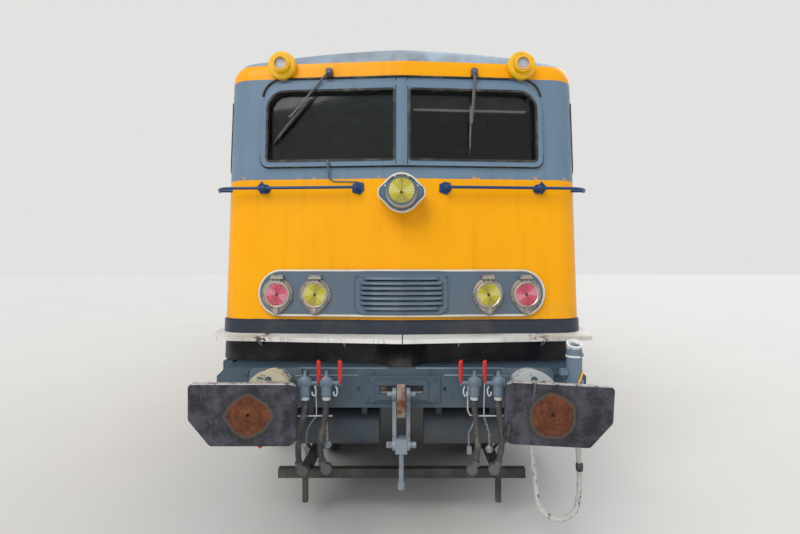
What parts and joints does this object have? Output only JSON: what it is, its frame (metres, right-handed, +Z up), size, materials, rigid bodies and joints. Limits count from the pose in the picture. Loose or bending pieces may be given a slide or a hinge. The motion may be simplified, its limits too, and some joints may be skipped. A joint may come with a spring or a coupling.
{
  "type": "electric locomotive",
  "caption": "Six-axle electric locomotive with a cab at each end, two three-axle bogies, diamond pantographs, buffers and screw couplings.",
  "frame": {"origin": "centre of the vehicle, at the lowest point of the wheel flanges, 28 mm below rail top", "axes": "+Z up, Y along the track with the pictured front end at -Y, +X to the right as seen from in front of that end"},
  "size_m": [3.092, 18.952, 4.2248],
  "materials": {
    "body_paint": "yellow enamel with a blue-grey window band",
    "roof_paint": "weathered blue-grey enamel",
    "grey_trim": "blue-grey enamel",
    "interior_paint": "dull green-grey enamel",
    "seat_vinyl": "black seat cover",
    "machine_steel": "dull grey enamel",
    "glass": "slightly tinted window glass",
    "lamp_metal": "cast lamp rings",
    "lens_glass": "coloured lamp lenses",
    "footboard_paint": "worn white chequer plate",
    "rail_paint": "dark blue enamel",
    "frame_paint": "dark blue-grey enamel, dusty",
    "buffer_steel": "dark painted steel with rust",
    "coupling_steel": "worn and rusty forged steel",
    "cock_metal": "light blue-grey enamel",
    "hose_rubber": "dull grey-black rubber",
    "cable_cover": "worn white paint over black rubber",
    "gear_steel": "oily dark steel",
    "wheel_steel": "steel, bright on the tread",
    "roof_insulator": "brown glazed insulators with a steel frame",
    "pantograph_steel": "dull steel tube",
    "wiper_rubber": "black"
  },
  "bodies": {
    "body": {"air_reservoirs": "frame_paint", "brake_cocks": "cock_metal", "brake_hose_inner_left": "hose_rubber", "brake_hose_inner_right": "hose_rubber", "brake_hose_outer_left": "hose_rubber", "brake_hose_outer_right": "hose_rubber", "buffer_casings": "frame_paint", "buffer_heads": "buffer_steel", "cab_desks": "interior_paint", "cab_front": "body_paint", "cab_partitions": "interior_paint", "cab_rear": "body_paint", "cab_seats": "seat_vinyl", "cab_steps": "frame_paint", "drawhooks": "coupling_steel", "footboards": "footboard_paint", "handrails": "rail_paint", "hose_heads": "cock_metal", "jumper_cable": "cable_cover", "jumper_sockets": "cock_metal", "lamp_housings": "lamp_metal", "lamp_lenses": "lens_glass", "light_panels": "grey_trim", "machine_block": "machine_steel", "pantograph_bases": "roof_insulator", "roof_equipment": "roof_insulator", "roof_panels": "roof_paint", "screw_couplings": "coupling_steel", "side_walls": "body_paint", "underfloor_boxes": "frame_paint", "underframe": "frame_paint", "window_glass": "glass", "windscreen_frames": "grey_trim", "wipers": "wiper_rubber"},
    "door_front_left": {"door_front_left": "body_paint"},
    "door_front_right": {"door_front_right": "body_paint"},
    "door_rear_left": {"door_rear_left": "body_paint"},
    "door_rear_right": {"door_rear_right": "body_paint"},
    "bogie_front": {"bogie_frame_front": "frame_paint", "axle_gear_front": "gear_steel", "traction_motors_front": "gear_steel"},
    "bogie_rear": {"bogie_frame_rear": "frame_paint", "axle_gear_rear": "gear_steel", "traction_motors_rear": "gear_steel"},
    "wheelset_1": {"wheelset_1": "wheel_steel"},
    "wheelset_2": {"wheelset_2": "wheel_steel"},
    "wheelset_3": {"wheelset_3": "wheel_steel"},
    "wheelset_4": {"wheelset_4": "wheel_steel"},
    "wheelset_5": {"wheelset_5": "wheel_steel"},
    "wheelset_6": {"wheelset_6": "wheel_steel"},
    "lower_arm_a_front": {"lower_arm_a_front": "pantograph_steel"},
    "lower_arm_b_front": {"lower_arm_b_front": "pantograph_steel"},
    "upper_arm_a_front": {"upper_arm_a_front": "pantograph_steel"},
    "upper_arm_b_front": {"upper_arm_b_front": "pantograph_steel"},
    "collector_head_front": {"collector_head_front": "pantograph_steel"},
    "lower_arm_a_rear": {"lower_arm_a_rear": "pantograph_steel"},
    "lower_arm_b_rear": {"lower_arm_b_rear": "pantograph_steel"},
    "upper_arm_a_rear": {"upper_arm_a_rear": "pantograph_steel"},
    "upper_arm_b_rear": {"upper_arm_b_rear": "pantograph_steel"},
    "collector_head_rear": {"collector_head_rear": "pantograph_steel"}
  },
  "joints": [
    {"name": "door_front_right_hinge", "type": "hinge", "parent": "body", "child": "door_front_right", "pos_m": [1.43, -6.798, 2.3], "axis": [0, 0, -1], "range_deg": [0, 88]},
    {"name": "door_front_left_hinge", "type": "hinge", "parent": "body", "child": "door_front_left", "pos_m": [-1.43, -6.798, 2.3], "axis": [0, 0, 1], "range_deg": [0, 88]},
    {"name": "door_rear_left_hinge", "type": "hinge", "parent": "body", "child": "door_rear_left", "pos_m": [-1.43, 6.798, 2.3], "axis": [0, 0, -1], "range_deg": [0, 88]},
    {"name": "door_rear_right_hinge", "type": "hinge", "parent": "body", "child": "door_rear_right", "pos_m": [1.43, 6.798, 2.3], "axis": [0, 0, 1], "range_deg": [0, 88]},
    {"name": "bogie_front_swivel", "type": "hinge", "parent": "body", "child": "bogie_front", "pos_m": [0, -4.6475, 0.98], "axis": [0, 0, 1], "range_deg": [-3, 3]},
    {"name": "bogie_rear_swivel", "type": "hinge", "parent": "body", "child": "bogie_rear", "pos_m": [0, 4.6475, 0.98], "axis": [0, 0, 1], "range_deg": [-3, 3]},
    {"name": "wheelset_1_roll", "type": "hinge", "parent": "bogie_front", "child": "wheelset_1", "pos_m": [0, -7.07, 0.653], "axis": [1, 0, 0], "continuous": true},
    {"name": "wheelset_2_roll", "type": "hinge", "parent": "bogie_front", "child": "wheelset_2", "pos_m": [0, -4.6475, 0.653], "axis": [1, 0, 0], "continuous": true},
    {"name": "wheelset_3_roll", "type": "hinge", "parent": "bogie_front", "child": "wheelset_3", "pos_m": [0, -2.225, 0.653], "axis": [1, 0, 0], "continuous": true},
    {"name": "wheelset_4_roll", "type": "hinge", "parent": "bogie_rear", "child": "wheelset_4", "pos_m": [0, 2.225, 0.653], "axis": [1, 0, 0], "continuous": true},
    {"name": "wheelset_5_roll", "type": "hinge", "parent": "bogie_rear", "child": "wheelset_5", "pos_m": [0, 4.6475, 0.653], "axis": [1, 0, 0], "continuous": true},
    {"name": "wheelset_6_roll", "type": "hinge", "parent": "bogie_rear", "child": "wheelset_6", "pos_m": [0, 7.07, 0.653], "axis": [1, 0, 0], "continuous": true},
    {"name": "lower_arm_a_front_raise", "type": "hinge", "parent": "body", "child": "lower_arm_a_front", "pos_m": [0, -5.56, 3.99], "axis": [-1, 0, 0], "range_deg": [0, 45]},
    {"name": "upper_arm_a_front_fold", "type": "hinge", "parent": "lower_arm_a_front", "child": "upper_arm_a_front", "pos_m": [0, -6.70842, 4.05019], "axis": [1, 0, 0], "range_deg": [0, 90]},
    {"name": "lower_arm_b_front_raise", "type": "hinge", "parent": "body", "child": "lower_arm_b_front", "pos_m": [0, -5.24, 3.99], "axis": [1, 0, 0], "range_deg": [0, 45]},
    {"name": "upper_arm_b_front_fold", "type": "hinge", "parent": "lower_arm_b_front", "child": "upper_arm_b_front", "pos_m": [0, -4.09158, 4.05019], "axis": [-1, 0, 0], "range_deg": [0, 90]},
    {"name": "collector_head_front_level", "type": "hinge", "parent": "upper_arm_a_front", "child": "collector_head_front", "pos_m": [0, -5.56, 4.11037], "axis": [-1, 0, 0], "range_deg": [0, 45]},
    {"name": "lower_arm_a_rear_raise", "type": "hinge", "parent": "body", "child": "lower_arm_a_rear", "pos_m": [0, 5.56, 3.99], "axis": [1, 0, 0], "range_deg": [0, 45]},
    {"name": "upper_arm_a_rear_fold", "type": "hinge", "parent": "lower_arm_a_rear", "child": "upper_arm_a_rear", "pos_m": [0, 6.70842, 4.05019], "axis": [-1, 0, 0], "range_deg": [0, 90]},
    {"name": "lower_arm_b_rear_raise", "type": "hinge", "parent": "body", "child": "lower_arm_b_rear", "pos_m": [0, 5.24, 3.99], "axis": [-1, 0, 0], "range_deg": [0, 45]},
    {"name": "upper_arm_b_rear_fold", "type": "hinge", "parent": "lower_arm_b_rear", "child": "upper_arm_b_rear", "pos_m": [0, 4.09158, 4.05019], "axis": [1, 0, 0], "range_deg": [0, 90]},
    {"name": "collector_head_rear_level", "type": "hinge", "parent": "upper_arm_a_rear", "child": "collector_head_rear", "pos_m": [0, 5.56, 4.11037], "axis": [1, 0, 0], "range_deg": [0, 45]}
  ],
  "couplings": [
    {"joint": "upper_arm_a_front_fold", "follows": "lower_arm_a_front_raise", "ratio": 2},
    {"joint": "lower_arm_b_front_raise", "follows": "lower_arm_a_front_raise", "ratio": 1},
    {"joint": "upper_arm_b_front_fold", "follows": "lower_arm_a_front_raise", "ratio": 2},
    {"joint": "collector_head_front_level", "follows": "lower_arm_a_front_raise", "ratio": 1},
    {"joint": "upper_arm_a_rear_fold", "follows": "lower_arm_a_rear_raise", "ratio": 2},
    {"joint": "lower_arm_b_rear_raise", "follows": "lower_arm_a_rear_raise", "ratio": 1},
    {"joint": "upper_arm_b_rear_fold", "follows": "lower_arm_a_rear_raise", "ratio": 2},
    {"joint": "collector_head_rear_level", "follows": "lower_arm_a_rear_raise", "ratio": 1}
  ]
}
